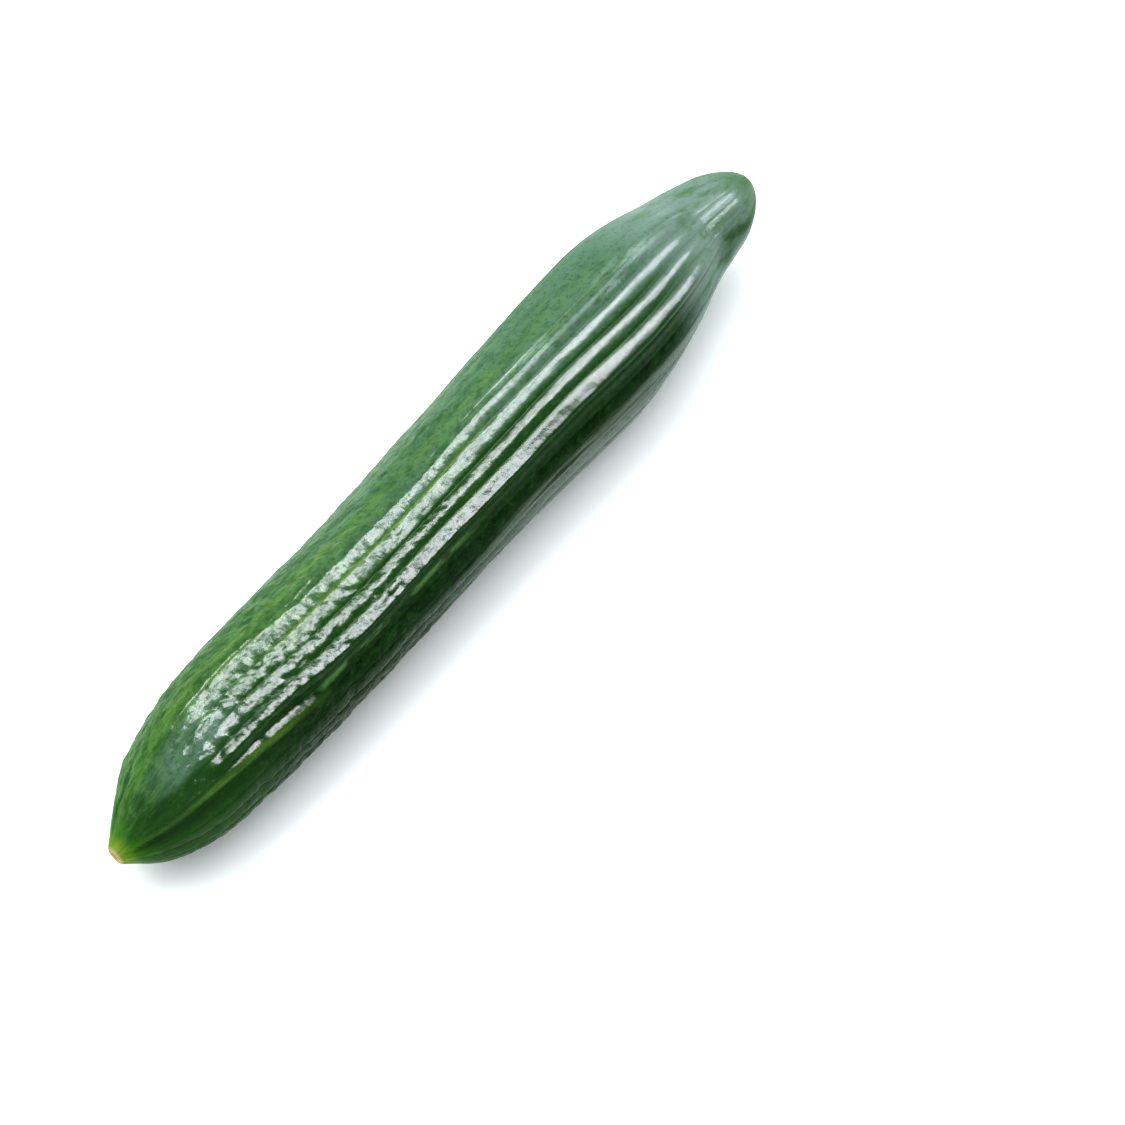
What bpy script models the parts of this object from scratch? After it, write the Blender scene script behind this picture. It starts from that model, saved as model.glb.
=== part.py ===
# Long greenhouse cucumber, whole and uncut: one solid.
# Metres, Z up. It lies along X on its two thick places: blossom end at -X, stem end at +X.

import math

import bpy
import numpy as np
from mathutils import Vector, noise

MM = 0.001

# Outline
# Distance along the fruit and half width there, from the blossom scar to the stem scar.
OUTLINE_MM = (
    (-160.2, 0.0), (-160.5, 1.6), (-160.4, 2.9), (-159.2, 4.1), (-157.0, 5.9),
    (-153.6, 8.9), (-148.6, 12.5), (-141.0, 16.2), (-129.0, 19.5), (-114.0, 21.6),
    (-92.0, 22.6), (-66.0, 22.6), (-38.0, 22.3), (-8.0, 22.4), (22.0, 23.1),
    (50.0, 24.1), (78.0, 24.5), (98.0, 23.5), (115.3, 20.7), (130.0, 17.2),
    (142.5, 14.6), (152.0, 12.1), (159.0, 8.3), (162.6, 5.2), (163.5, 4.0),
    (163.3, 3.1), (163.0, 0.0),
)
# Middle line: distance along, sideways offset, height over the floor before it is settled.
SPINE_MM = (
    (-166.0, 6.7, 15.5), (-157.0, 4.6, 17.2), (-145.0, 2.6, 19.1), (-130.0, 2.2, 20.7),
    (-105.0, 2.6, 21.8), (-70.0, 1.3, 22.3), (-20.0, -0.2, 22.7), (30.0, -0.7, 23.4),
    (80.0, -2.1, 24.0), (112.0, -0.7, 22.8), (132.0, -0.8, 21.3), (150.0, -2.7, 21.6),
    (168.0, -4.2, 22.6),
)
SINK = 0.2 * MM
SOFT_FLOOR = 0.25 * MM

# Lengthways ridges. A ridge coordinate counts round the fruit: whole numbers are grooves, halves are
# crests. The strengths say how much of the full depth the ridges have in the blossom half, in the
# middle, in the stem half and at the ends. One narrow ridge stands sharper than the rest.
RIDGES = 26
COLUMNS_PER_RIDGE = (0.0, 0.22, 0.5, 0.78)
STATIONS = 56
FIRST_GROOVE_DEG = 53.0
TWIST_DEG_PER_M = 22.0
BLOSSOM_TWIST_DEG = 6.0
STEM_TWIST_DEG = 6.0
WANDER_DEG = 1.6
RIDGE_DEPTH = 0.38 * MM
CREST_BLUNTNESS = 0.65
RIDGES_BLOSSOM = 0.50
RIDGES_MIDDLE = 0.64
RIDGES_STEM = 1.10
RIDGES_UNEVEN = 0.15
RIDGES_AT_ENDS = 0.10
NARROW_RIDGE = 24.5
NARROW_REACH = 0.45
NARROW_GAIN = 1.2

# Broad form under the ridges
# The flattened side: its middle as a ridge coordinate in the blossom half and in the stem half, half
# its width in ridges, the rise of its two long edges, and how many ridges each edge takes to fall away.
FLAT_MIDDLE_BLOSSOM = 23.70
FLAT_MIDDLE_STEM = 24.05
FLAT_REACH_BLOSSOM = 1.80
FLAT_REACH_STEM = 1.70
FLAT_EDGE_HEIGHT = 2.2 * MM
FLAT_FALL_LOW = 1.3
FLAT_FALL_BLOSSOM = 0.35
FLAT_FALL_STEM = 0.6
# Blunt edges along the fruit. Each has its start and end along the fruit, its ridge coordinate at
# both, its height, and its reach on the side of lower and of higher coordinates, in ridges. The one
# with a height below zero is a furrow.
EDGES_MM = (
    (-146.0, -84.0, 25.90, 26.88, 1.50, 0.34, 0.50), (-60.0, 90.0, 4.6, 4.6, 0.45, 1.0, 0.5),
    (-128.0, -64.0, 25.0, 25.0, -0.45, 0.24, 0.24),
    (-120.0, 60.0, 8.0, 8.6, 0.60, 1.0, 0.5), (-30.0, 115.0, 12.7, 12.7, 0.50, 0.6, 1.0),
    (-125.0, 20.0, 16.3, 16.9, 0.55, 0.9, 0.6),
)
EDGE_FADE = 0.012
# Where the ridges are faint: round the smooth side, and beside the sharper long edge.
CALM_MIDDLE = 18.6
CALM_REACH = 3.4
CALM_EDGE = 25.5
CALM_EDGE_REACH = 0.42
CALM_DROP = 0.80
# Slow swellings and shallow crinkles of the whole skin.
SWELL_HEIGHT = 0.30 * MM
CRINKLE_HEIGHT = 0.28 * MM

# Folds that gather at the blossom end: ridge groove, depth, reach along the fruit.
FOLDS_MM = (
    (1, 2.1, 20.0), (3, 0.6, 10.0), (6, 0.7, 12.0), (9, 1.0, 15.0), (12, 0.7, 11.0),
    (15, 0.9, 14.0), (17, 0.6, 10.0), (20, 0.8, 13.0), (23, 1.1, 12.0), (25, 0.9, 11.0),
)
FOLD_MIDDLE = -0.147
FOLD_WIDTH = 0.45


def smooth_step(low, high, value):
    share = min(max((value - low) / (high - low), 0.0), 1.0)
    return share * share * (3.0 - 2.0 * share)


def curve_through(places, points, wanted):
    """Smooth curve through the points, read at the wanted places."""
    places = np.asarray(places, float)
    points = np.asarray(points, float)
    slopes = np.gradient(points, places, axis=0)
    index = np.clip(np.searchsorted(places, wanted) - 1, 0, len(places) - 2)
    gap = places[index + 1] - places[index]
    part = (wanted - places[index]) / gap
    if points.ndim == 2:
        part = part[:, None]
        gap = gap[:, None]
    first, last = points[index], points[index + 1]
    leave = slopes[index] * gap
    arrive = slopes[index + 1] * gap
    bend = part * part * (3.0 - 2.0 * part)
    return (first + (last - first) * bend
            + leave * part * (1.0 - part) ** 2
            - arrive * part * part * (1.0 - part))


def outline_stations(count):
    """Places along the outline: close together at the two ends, wider in the middle."""
    outline = np.array(OUTLINE_MM) * MM
    steps = np.linalg.norm(np.diff(outline, axis=0), axis=1)
    chord = np.concatenate(([0.0], np.cumsum(steps)))
    fine = np.linspace(0.0, chord[-1], 4000)
    to_end = np.minimum(fine, chord[-1] - fine)
    spacing = np.clip(0.9 * MM + 0.16 * to_end, 0.0, 7.6 * MM)
    weight = np.concatenate(([0.0], np.cumsum(1.0 / spacing[1:])))
    places = np.interp(np.linspace(0.0, weight[-1], count), weight, fine)
    return curve_through(chord, outline, places)


def middle_line(distances):
    """Centre of each station and the two directions across the fruit there."""
    spine = np.array(SPINE_MM) * MM
    centres = curve_through(spine[:, 0], spine, distances)
    step = 0.5 * MM
    ahead = curve_through(spine[:, 0], spine, distances + step)
    behind = curve_through(spine[:, 0], spine, distances - step)
    frames = []
    for centre, front, back in zip(centres, ahead, behind):
        along = Vector(front - back).normalized()
        side = along.cross(Vector((0.0, 0.0, 1.0))).normalized()
        frames.append((Vector(centre), side, side.cross(along)))
    return frames


def field(distance, angle, length, width, seed):
    """Smooth wandering value, about -1 to 1, that closes round the fruit."""
    turn = 0.0225 / width
    spot = Vector((math.cos(angle) * turn, math.sin(angle) * turn, distance / length + seed))
    return noise.noise(spot) * 1.6


def ridge_angle(ridge, distance):
    """Angle from the top towards -Y at which a ridge coordinate lies at this distance."""
    base = math.radians(FIRST_GROOVE_DEG) + ridge * math.tau / RIDGES
    base += math.radians(TWIST_DEG_PER_M) * distance
    base -= math.radians(BLOSSOM_TWIST_DEG) * (1.0 - smooth_step(-0.135, -0.075, distance))
    base += math.radians(STEM_TWIST_DEG) * smooth_step(0.045, 0.125, distance)
    wander = field(distance, base, 0.045, 0.016, 3.0)
    return base + math.radians(WANDER_DEG) * wander


def ridge_shape(ridge):
    """Blunt crest of 1 that falls to a sharp groove of -1 at each whole number."""
    return 2.0 * abs(math.sin(math.pi * ridge)) ** CREST_BLUNTNESS - 1.0


def ridges_apart(ridge, other):
    """Ridge coordinates from one place to another, the short way round."""
    return (ridge - other + RIDGES / 2) % RIDGES - RIDGES / 2


def edge_height(ridge, distance):
    """Blunt edges where the section turns, each with a slow side and a quick side."""
    height = 0.0
    for start_mm, end_mm, start_ridge, end_ridge, edge_mm, reach_low, reach_high in EDGES_MM:
        start, end = start_mm * MM, end_mm * MM
        share = (distance - start) / (end - start)
        apart = ridges_apart(ridge, start_ridge + (end_ridge - start_ridge) * share)
        reach = reach_high if apart > 0.0 else reach_low
        begin = smooth_step(start - EDGE_FADE, start + EDGE_FADE, distance)
        finish = 1.0 - smooth_step(end - EDGE_FADE, end + EDGE_FADE, distance)
        height += edge_mm * MM * math.exp(-(apart / reach) ** 2) * begin * finish
    return height


def flat_side(ridge, distance):
    """Rise of the skin towards the two long edges of the flattened side."""
    shift = smooth_step(-0.105, -0.055, distance)
    middle = FLAT_MIDDLE_BLOSSOM + (FLAT_MIDDLE_STEM - FLAT_MIDDLE_BLOSSOM) * shift
    apart = ridges_apart(ridge, middle)
    reach = FLAT_REACH_BLOSSOM + (FLAT_REACH_STEM - FLAT_REACH_BLOSSOM) * shift
    beyond = abs(apart) - reach
    quick = FLAT_FALL_BLOSSOM + (FLAT_FALL_STEM - FLAT_FALL_BLOSSOM) * shift
    fall = quick if apart > 0.0 else FLAT_FALL_LOW
    share = (apart / reach) ** 2 if beyond < 0.0 else math.exp(-(beyond / fall) ** 2)
    present = smooth_step(-0.148, -0.115, distance) * (1.0 - smooth_step(0.105, 0.140, distance))
    return FLAT_EDGE_HEIGHT * share * present


def calm_share(ridge, distance):
    """1 where the ridges are faint: the smooth side, and beside the sharper long edge."""
    apart = abs(ridges_apart(ridge, CALM_MIDDLE))
    smooth_side = 1.0 - smooth_step(CALM_REACH - 1.0, CALM_REACH + 0.6, apart)
    beside_edge = math.exp(-(ridges_apart(ridge, CALM_EDGE) / CALM_EDGE_REACH) ** 2)
    beside_edge *= 1.0 - smooth_step(0.045, 0.080, distance)
    return max(smooth_side, beside_edge)


def fold_depth(ridge, distance):
    """Depth of the gathered folds near the blossom end."""
    depth = 0.0
    for groove, deep_mm, reach_mm in FOLDS_MM:
        apart = ridges_apart(ridge, groove)
        off = (distance - FOLD_MIDDLE) / (reach_mm * MM)
        depth += deep_mm * MM * math.exp(-(apart / FOLD_WIDTH) ** 2 - off * off)
    return depth


def relief(ridge, angle, distance):
    """Height of the skin over the plain outline."""
    body = smooth_step(-0.1595, -0.138, distance) * (1.0 - smooth_step(0.112, 0.142, distance))
    ends = smooth_step(-0.1600, -0.152, distance) * (1.0 - smooth_step(0.150, 0.1625, distance))
    strength = RIDGES_BLOSSOM
    strength += (RIDGES_MIDDLE - RIDGES_BLOSSOM) * smooth_step(-0.085, -0.050, distance)
    strength += (RIDGES_STEM - RIDGES_MIDDLE) * smooth_step(-0.015, 0.045, distance)
    strength += RIDGES_UNEVEN * field(distance, angle, 0.030, 0.009, 11.0)
    narrow = math.exp(-(ridges_apart(ridge, NARROW_RIDGE) / NARROW_REACH) ** 2)
    narrow *= smooth_step(-0.085, -0.060, distance) * (1.0 - smooth_step(0.025, 0.070, distance))
    strength *= 1.0 + NARROW_GAIN * narrow
    strength *= 1.0 - CALM_DROP * calm_share(ridge, distance)
    strength *= RIDGES_AT_ENDS + (1.0 - RIDGES_AT_ENDS) * body
    ridges = RIDGE_DEPTH * ridge_shape(ridge) * strength
    swell = SWELL_HEIGHT * field(distance, angle, 0.060, 0.014, 23.0) * body
    rough = 1.0 - 0.75 * smooth_step(-0.020, 0.050, distance)
    crinkle = CRINKLE_HEIGHT * field(distance, angle, 0.016, 0.007, 37.0) * rough * body
    height = ridges + flat_side(ridge, distance) + edge_height(ridge, distance) + swell + crinkle
    return (height - fold_depth(ridge, distance)) * ends


def settle(height):
    """Softly flattens what would lie below the floor to the floor plane."""
    if height <= -SOFT_FLOOR:
        return 0.0
    if height < SOFT_FLOOR:
        return (height + SOFT_FLOOR) ** 2 / (4.0 * SOFT_FLOOR)
    return height


def skin_rings(count):
    stations = outline_stations(count)
    frames = middle_line(stations[:, 0])
    rings = []
    for (distance, radius), (centre, side, top) in zip(stations[1:-1], frames[1:-1]):
        ring = []
        for whole in range(RIDGES):
            for offset in COLUMNS_PER_RIDGE:
                ridge = whole + offset
                angle = ridge_angle(ridge, distance)
                reach = radius + relief(ridge, angle, distance)
                across = side * math.sin(angle) + top * math.cos(angle)
                point = centre + across * reach
                ring.append((point.x, point.y, settle(point.z - SINK)))
        rings.append(ring)
    tips = []
    for frame in (frames[0], frames[-1]):
        tips.append((frame[0].x, frame[0].y, settle(frame[0].z - SINK)))
    return rings, tips


def skin_faces(ring_count, columns, first_tip, last_tip):
    faces = []
    for ring in range(ring_count - 1):
        for column in range(columns):
            here = ring * columns + column
            beside = ring * columns + (column + 1) % columns
            faces.append((here, beside, beside + columns, here + columns))
    last_ring = (ring_count - 1) * columns
    for column in range(columns):
        beside = (column + 1) % columns
        faces.append((beside, column, first_tip))
        faces.append((last_ring + column, last_ring + beside, last_tip))
    return faces


def skin_material():
    material = bpy.data.materials.new("cucumber_skin")
    material.use_nodes = True
    shader = material.node_tree.nodes["Principled BSDF"]
    shader.inputs["Base Color"].default_value = (0.032, 0.105, 0.026, 1.0)
    shader.inputs["Roughness"].default_value = 0.28
    shader.inputs["Metallic"].default_value = 0.0
    return material


def build_cucumber():
    rings, tips = skin_rings(STATIONS)
    columns = len(rings[0])
    points = np.array([point for ring in rings for point in ring] + tips)
    middle = (points.min(axis=0) + points.max(axis=0)) / 2.0
    points[:, 0] -= middle[0]
    points[:, 1] -= middle[1]
    faces = skin_faces(len(rings), columns, len(points) - 2, len(points) - 1)
    mesh = bpy.data.meshes.new("cucumber")
    mesh.from_pydata([tuple(point) for point in points], [], faces)
    mesh.update()
    cucumber = bpy.data.objects.new("cucumber", mesh)
    bpy.context.collection.objects.link(cucumber)
    mesh.materials.append(skin_material())
    for polygon in mesh.polygons:
        polygon.use_smooth = True
    return cucumber


for leftover in list(bpy.data.objects):
    bpy.data.objects.remove(leftover, do_unlink=True)
build_cucumber()
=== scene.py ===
# %% [markdown]
# # A whole long cucumber
# This lesson dresses one cucumber for a studio picture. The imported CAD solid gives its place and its
# form. We rebuild the same form with a much finer mesh, because a glossy skin shows every small dent,
# and then give it a waxy skin, a pale floor and soft lights.

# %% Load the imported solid
import math

import bpy
import numpy as np
from mathutils import Matrix, Vector, noise
from mathutils.bvhtree import BVHTree


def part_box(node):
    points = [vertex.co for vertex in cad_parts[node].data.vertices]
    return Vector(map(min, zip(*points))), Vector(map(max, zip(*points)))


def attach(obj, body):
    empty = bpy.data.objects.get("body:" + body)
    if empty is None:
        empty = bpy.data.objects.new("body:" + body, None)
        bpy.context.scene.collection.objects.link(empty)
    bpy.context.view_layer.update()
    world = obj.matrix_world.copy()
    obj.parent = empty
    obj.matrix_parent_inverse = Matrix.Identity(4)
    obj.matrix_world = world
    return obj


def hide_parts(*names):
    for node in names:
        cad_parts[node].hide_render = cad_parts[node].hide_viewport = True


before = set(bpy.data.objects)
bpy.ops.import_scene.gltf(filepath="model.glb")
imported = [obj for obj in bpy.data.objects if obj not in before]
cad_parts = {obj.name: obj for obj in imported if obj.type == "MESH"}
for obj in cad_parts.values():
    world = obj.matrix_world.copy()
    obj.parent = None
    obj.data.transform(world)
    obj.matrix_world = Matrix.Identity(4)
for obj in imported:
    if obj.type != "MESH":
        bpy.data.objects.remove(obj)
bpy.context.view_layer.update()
cad_low, cad_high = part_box("cucumber")
MM = 0.001
print("CAD box in mm:", [round(value / MM, 1) for value in (*cad_low, *cad_high)])

# %% [markdown]
# ## The camera
# The picture is taken from above and from the blossom end, so the fruit runs from the lower left to the
# upper right. A long lens far away keeps both ends almost the same size. We describe the view by two
# angles and a point to look at, because those can be read off the photograph, and turn them into a
# rotation with `to_track_quat`.

# %% Camera
VIEW_TURN = math.radians(-56.0)
VIEW_RISE = math.radians(50.0)
VIEW_DISTANCE = 2.5
IMAGE_PIXELS = 1125.0
PIXELS_PER_METRE = 3310.0
SENSOR_MM = 36.0
LOOK_AT = Vector((0.0016, -0.0428, 0.0220))

to_camera = Vector((
    math.sin(VIEW_TURN) * math.cos(VIEW_RISE),
    -math.cos(VIEW_TURN) * math.cos(VIEW_RISE),
    math.sin(VIEW_RISE),
))
camera_data = bpy.data.cameras.new("camera")
camera_data.sensor_width = SENSOR_MM
camera_data.lens = PIXELS_PER_METRE * VIEW_DISTANCE * SENSOR_MM / IMAGE_PIXELS
camera_data.clip_end = 50.0
camera = bpy.data.objects.new("camera", camera_data)
bpy.context.scene.collection.objects.link(camera)
camera.location = LOOK_AT + to_camera * VIEW_DISTANCE
camera.rotation_euler = to_camera.to_track_quat("Z", "Y").to_euler()
bpy.context.scene.camera = camera
print("lens in mm:", round(camera_data.lens, 1))

# %% [markdown]
# ## The outline and the middle line
# A cucumber is a bent tube of changing width. We could push and pull a cylinder by hand, but two short
# lists are easier to check against a picture: half widths along the fruit, and the points of its middle
# line. A smooth curve through each list gives any place in between, so the mesh can be as fine as we
# like without more numbers.

# %% Outline
# Distance along the fruit and half width there, from the blossom scar to the stem scar.
OUTLINE_MM = (
    (-160.2, 0.0), (-160.5, 1.6), (-160.4, 2.9), (-159.2, 4.1), (-157.0, 5.9),
    (-153.6, 8.9), (-148.6, 12.5), (-141.0, 16.2), (-129.0, 19.5), (-114.0, 21.6),
    (-92.0, 22.6), (-66.0, 22.6), (-38.0, 22.3), (-8.0, 22.4), (22.0, 23.1),
    (50.0, 24.1), (78.0, 24.5), (98.0, 23.5), (115.3, 20.7), (130.0, 17.2),
    (142.5, 14.6), (152.0, 12.1), (159.0, 8.3), (162.6, 5.2), (163.5, 4.0),
    (163.3, 3.1), (163.0, 0.0),
)
STATIONS = 296
# The gaps between stations start small at each end, grow with the distance from it, and are limited
# to these widths at the blossom end, in the middle and at the stem end.
FIRST_GAP = 0.25 * MM
GAP_GROWTH = 0.09
WIDEST_GAPS = (0.95 * MM, 1.05 * MM, 1.75 * MM)
OUTLINE_SAMPLES = 8000


def curve_through(places, points, wanted):
    """Smooth curve through the points, read at the wanted places."""
    places = np.asarray(places, float)
    points = np.asarray(points, float)
    slopes = np.gradient(points, places, axis=0)
    index = np.clip(np.searchsorted(places, wanted) - 1, 0, len(places) - 2)
    gap = places[index + 1] - places[index]
    part = (wanted - places[index]) / gap
    if points.ndim == 2:
        part = part[:, None]
        gap = gap[:, None]
    first, last = points[index], points[index + 1]
    leave = slopes[index] * gap
    arrive = slopes[index + 1] * gap
    bend = part * part * (3.0 - 2.0 * part)
    return (first + (last - first) * bend
            + leave * part * (1.0 - part) ** 2
            - arrive * part * part * (1.0 - part))


def outline_stations(count):
    """Places along the outline, closer together at the ends and in the crinkled blossom half."""
    outline = np.array(OUTLINE_MM) * MM
    steps = np.linalg.norm(np.diff(outline, axis=0), axis=1)
    chord = np.concatenate(([0.0], np.cumsum(steps)))
    fine = np.linspace(0.0, chord[-1], OUTLINE_SAMPLES)
    to_end = np.minimum(fine, chord[-1] - fine)
    widest = np.interp(fine, (0.0, 0.5 * chord[-1], chord[-1]), WIDEST_GAPS)
    spacing = np.minimum(FIRST_GAP + GAP_GROWTH * to_end, widest)
    weight = np.concatenate(([0.0], np.cumsum(1.0 / spacing[1:])))
    places = np.interp(np.linspace(0.0, weight[-1], count), weight, fine)
    return curve_through(chord, outline, places)


stations = outline_stations(STATIONS)
widest_gap = float(np.diff(stations[:, 0]).max())
print("stations:", STATIONS, "widest gap in mm:", round(widest_gap / MM, 2))

# %% Middle line
# Distance along, sideways offset, and height over the floor before the fruit is settled on it.
SPINE_MM = (
    (-166.0, 6.7, 15.5), (-157.0, 4.6, 17.2), (-145.0, 2.6, 19.1), (-130.0, 2.2, 20.7),
    (-105.0, 2.6, 21.8), (-70.0, 1.3, 22.3), (-20.0, -0.2, 22.7), (30.0, -0.7, 23.4),
    (80.0, -2.1, 24.0), (112.0, -0.7, 22.8), (132.0, -0.8, 21.3), (150.0, -2.7, 21.6),
    (168.0, -4.2, 22.6),
)


def middle_line(distances):
    """Centre of each station and the two directions across the fruit there."""
    spine = np.array(SPINE_MM) * MM
    centres = curve_through(spine[:, 0], spine, distances)
    step = 0.5 * MM
    ahead = curve_through(spine[:, 0], spine, distances + step)
    behind = curve_through(spine[:, 0], spine, distances - step)
    frames = []
    for centre, front, back in zip(centres, ahead, behind):
        along = Vector(front - back).normalized()
        side = along.cross(Vector((0.0, 0.0, 1.0))).normalized()
        frames.append((Vector(centre), side, side.cross(along)))
    return frames


station_frames = middle_line(stations[:, 0])
print("sideways bend in mm:", max(row[1] for row in SPINE_MM) - min(row[1] for row in SPINE_MM))

# %% [markdown]
# ## Ridges
# Twenty-six ridges run along the fruit and lean a little round it. We give every point a ridge
# coordinate: whole numbers are grooves, halves are crests. Drawing the mesh columns along the ridges
# keeps each crest clean from end to end. The wandering comes from noise read on a circle, so that it
# closes round the fruit with no seam. The crests are blunt, because a blunt crest mirrors a wide soft
# streak and a round one only a thin line.

# %% Smooth steps and wandering values
MEAN_RADIUS = 0.0225
NOISE_GAIN = 1.6


def smooth_step(low, high, value):
    """0 below low, 1 above high, and a soft step in between."""
    share = min(max((value - low) / (high - low), 0.0), 1.0)
    return share * share * (3.0 - 2.0 * share)


def between(value, start, full, fading, gone):
    """1 between full and fading, 0 outside start and gone."""
    return smooth_step(start, full, value) * (1.0 - smooth_step(fading, gone, value))


def field(distance, angle, length, width, seed):
    """Smooth wandering value, about -1 to 1, that closes round the fruit."""
    turn = MEAN_RADIUS / width
    spot = Vector((math.cos(angle) * turn, math.sin(angle) * turn, distance / length + seed))
    return noise.noise(spot) * NOISE_GAIN


print("wandering value at the middle:", round(field(0.0, 0.0, 0.045, 0.016, 3.0), 3))

# %% Ridge coordinate
RIDGES = 26
FIRST_GROOVE_DEG = 53.0
TWIST_DEG_PER_M = 22.0
# The ridges turn a little more where they gather towards each end.
BLOSSOM_TWIST_DEG = 6.0
BLOSSOM_TWIST_SPAN = (-0.135, -0.075)
STEM_TWIST_DEG = 6.0
STEM_TWIST_SPAN = (0.045, 0.125)
WANDER_DEG = 1.6
# Each grain gives the length and width of its waves in metres, and a seed.
WANDER_GRAIN = (0.045, 0.016, 3.0)
CREST_BLUNTNESS = 0.65


def ridge_angle(ridge, distance):
    """Angle from the top towards -Y at which a ridge coordinate lies at this distance."""
    base = math.radians(FIRST_GROOVE_DEG) + ridge * math.tau / RIDGES
    base += math.radians(TWIST_DEG_PER_M) * distance
    base -= math.radians(BLOSSOM_TWIST_DEG) * (1.0 - smooth_step(*BLOSSOM_TWIST_SPAN, distance))
    base += math.radians(STEM_TWIST_DEG) * smooth_step(*STEM_TWIST_SPAN, distance)
    wander = field(distance, base, *WANDER_GRAIN)
    return base + math.radians(WANDER_DEG) * wander


def ridge_shape(ridge):
    """Blunt crest of 1 that falls to a sharp groove of -1 at each whole number."""
    return 2.0 * abs(math.sin(math.pi * ridge)) ** CREST_BLUNTNESS - 1.0


def ridges_apart(ridge, other):
    """Ridge coordinates from one place to another, the short way round."""
    return (ridge - other + RIDGES / 2) % RIDGES - RIDGES / 2


print("ridge spacing at the middle in mm:", round(MEAN_RADIUS * math.tau / RIDGES / MM, 2))

# %% [markdown]
# ## The flattened side and the long edges
# The side that faces the camera is a little flat, with a long blunt edge above it and a sharper one
# below. That flat side is what makes several ridges catch the light at once. A few lower edges run
# along the rest of the fruit. All of them are in the solid too, so we use the same numbers here.

# %% Flattened side
# Its middle as a ridge coordinate in the blossom half and in the stem half, half its width in ridges,
# the rise of its two long edges, and how many ridges each edge takes to fall away.
FLAT_MIDDLE_BLOSSOM = 23.70
FLAT_MIDDLE_STEM = 24.05
FLAT_REACH_BLOSSOM = 1.80
FLAT_REACH_STEM = 1.70
FLAT_EDGE_HEIGHT = 2.2 * MM
FLAT_FALL_LOW = 1.3
FLAT_FALL_BLOSSOM = 0.35
FLAT_FALL_STEM = 0.6
FLAT_SHIFT_SPAN = (-0.105, -0.055)
FLAT_SPAN = (-0.148, -0.115, 0.105, 0.140)


def flat_side(ridge, distance):
    """Rise of the skin towards the two long edges of the flattened side."""
    shift = smooth_step(*FLAT_SHIFT_SPAN, distance)
    middle = FLAT_MIDDLE_BLOSSOM + (FLAT_MIDDLE_STEM - FLAT_MIDDLE_BLOSSOM) * shift
    apart = ridges_apart(ridge, middle)
    reach = FLAT_REACH_BLOSSOM + (FLAT_REACH_STEM - FLAT_REACH_BLOSSOM) * shift
    beyond = abs(apart) - reach
    quick = FLAT_FALL_BLOSSOM + (FLAT_FALL_STEM - FLAT_FALL_BLOSSOM) * shift
    fall = quick if apart > 0.0 else FLAT_FALL_LOW
    share = (apart / reach) ** 2 if beyond < 0.0 else math.exp(-(beyond / fall) ** 2)
    return FLAT_EDGE_HEIGHT * share * between(distance, *FLAT_SPAN)


print("rise of the long edges in mm:", round(FLAT_EDGE_HEIGHT / MM, 2))

# %% Other edges and the calm skin
# Each edge has its start and end along the fruit, its ridge coordinate at both, its height, and its
# reach on the side of lower and of higher coordinates, in ridges. The one with a height below zero is
# a furrow.
EDGES_MM = (
    (-146.0, -84.0, 25.90, 26.88, 1.50, 0.34, 0.50), (-60.0, 90.0, 4.6, 4.6, 0.45, 1.0, 0.5),
    (-128.0, -64.0, 25.0, 25.0, -0.45, 0.24, 0.24),
    (-120.0, 60.0, 8.0, 8.6, 0.60, 1.0, 0.5), (-30.0, 115.0, 12.7, 12.7, 0.50, 0.6, 1.0),
    (-125.0, 20.0, 16.3, 16.9, 0.55, 0.9, 0.6),
)
EDGE_FADE = 0.012
# Where the ridges are faint: round the smooth side, and beside the sharper long edge.
CALM_MIDDLE = 18.6
CALM_REACH = 3.4
CALM_EDGE = 25.5
CALM_EDGE_REACH = 0.42
CALM_EDGE_END = (0.045, 0.080)
CALM_DROP = 0.80


def edge_height(ridge, distance):
    """Blunt edges where the section turns, each with a slow side and a quick side."""
    height = 0.0
    for start_mm, end_mm, start_ridge, end_ridge, edge_mm, reach_low, reach_high in EDGES_MM:
        start, end = start_mm * MM, end_mm * MM
        share = (distance - start) / (end - start)
        apart = ridges_apart(ridge, start_ridge + (end_ridge - start_ridge) * share)
        reach = reach_high if apart > 0.0 else reach_low
        present = between(
            distance, start - EDGE_FADE, start + EDGE_FADE, end - EDGE_FADE, end + EDGE_FADE)
        height += edge_mm * MM * math.exp(-(apart / reach) ** 2) * present
    return height


def calm_share(ridge, distance):
    """1 where the ridges are faint: the smooth side, and beside the sharper long edge."""
    apart = abs(ridges_apart(ridge, CALM_MIDDLE))
    smooth_side = 1.0 - smooth_step(CALM_REACH - 1.0, CALM_REACH + 0.6, apart)
    beside_edge = math.exp(-(ridges_apart(ridge, CALM_EDGE) / CALM_EDGE_REACH) ** 2)
    beside_edge *= 1.0 - smooth_step(*CALM_EDGE_END, distance)
    return max(smooth_side, beside_edge)


print("long edges and furrows:", len(EDGES_MM))

# %% [markdown]
# ## Folds at the blossom end
# Where the blossom sat, the skin is gathered into folds that deepen towards the scar, as in a drawn
# bag. Each fold follows a groove, so it needs only the number of that groove, a depth and a reach.

# %% Folds
FOLDS_MM = (
    (1, 2.1, 20.0), (3, 0.6, 10.0), (6, 0.7, 12.0), (9, 1.0, 15.0), (12, 0.7, 11.0),
    (15, 0.9, 14.0), (17, 0.6, 10.0), (20, 0.8, 13.0), (23, 1.1, 12.0), (25, 0.9, 11.0),
)
FOLD_MIDDLE = -0.147
FOLD_WIDTH = 0.45


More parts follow.
